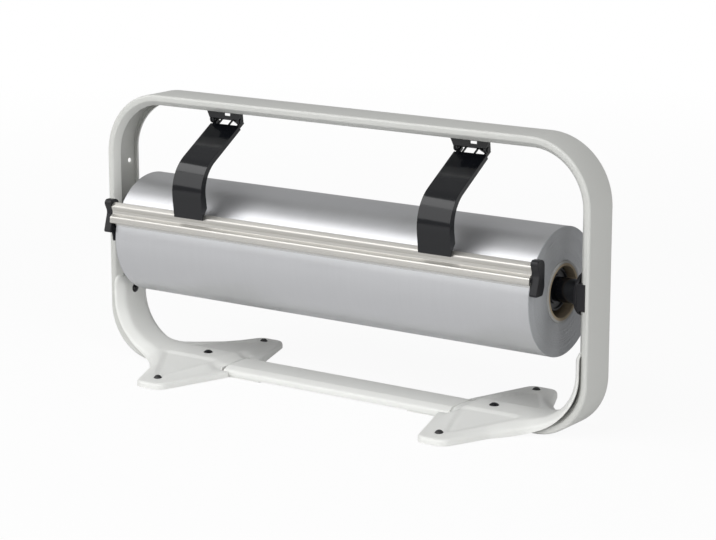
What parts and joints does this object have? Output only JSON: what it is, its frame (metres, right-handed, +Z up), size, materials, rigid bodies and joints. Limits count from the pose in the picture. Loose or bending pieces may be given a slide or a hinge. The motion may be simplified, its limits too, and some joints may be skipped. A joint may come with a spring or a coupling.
{
  "type": "table paper roll dispenser",
  "caption": "Counter-top wrapping paper dispenser: bent steel frame on pressed feet, roll on an axle, hinged tear bar on spring arms.",
  "frame": {"origin": "middle of the bottom, on the table under the rubber feet", "axes": "+X along the roll towards the picture's right end, +Z up, the tear bar is on the -Y side"},
  "size_m": [0.582, 0.216, 0.288],
  "materials": {
    "frame_paint": "light grey powder coat, satin",
    "foot_paint": "light grey powder coat, satin, on smoothly pressed sheet",
    "rubber": "black push-in foot",
    "black_steel": "black enamel, glossy",
    "zinc_steel": "zinc plated",
    "black_plastic": "black moulded plastic, glossy",
    "cardboard": "wound grey-brown cardboard",
    "silver_paper": "silver coated wrapping paper, satin, tightly wound",
    "bar_metal": "satin, warm grey",
    "blade_steel": "bright ground strip"
  },
  "bodies": {
    "frame": {"frame_band": "frame_paint", "left_foot": "foot_paint", "right_foot": "foot_paint", "crossbar": "frame_paint", "rubber_feet": "rubber", "frame_screws": "black_steel", "standoff_nuts": "zinc_steel", "axle_tube": "black_steel", "left_core_plug": "black_plastic", "right_core_plug": "black_plastic", "left_axle_collar": "black_plastic", "right_axle_collar": "black_plastic", "left_axle_block": "black_plastic", "right_axle_block": "black_plastic", "left_hinge_bracket": "black_steel", "right_hinge_bracket": "black_steel", "hinge_pins": "black_steel"},
    "roll": {"cardboard_core": "cardboard", "paper_roll": "silver_paper"},
    "tear_unit": {"left_spring_arm": "black_steel", "right_spring_arm": "black_steel", "tear_bar": "bar_metal", "cutting_blade": "blade_steel", "left_end_cap": "black_plastic", "right_end_cap": "black_plastic"}
  },
  "joints": [
    {"name": "roll_spin", "type": "hinge", "parent": "frame", "child": "roll", "pos_m": [0, 0.00184, 0.13788], "axis": [1, 0, 0], "continuous": true},
    {"name": "bar_lift", "type": "hinge", "parent": "frame", "child": "tear_unit", "pos_m": [0, 0, 0.266], "axis": [-1, 0, 0], "range_deg": [0, 60]}
  ]
}
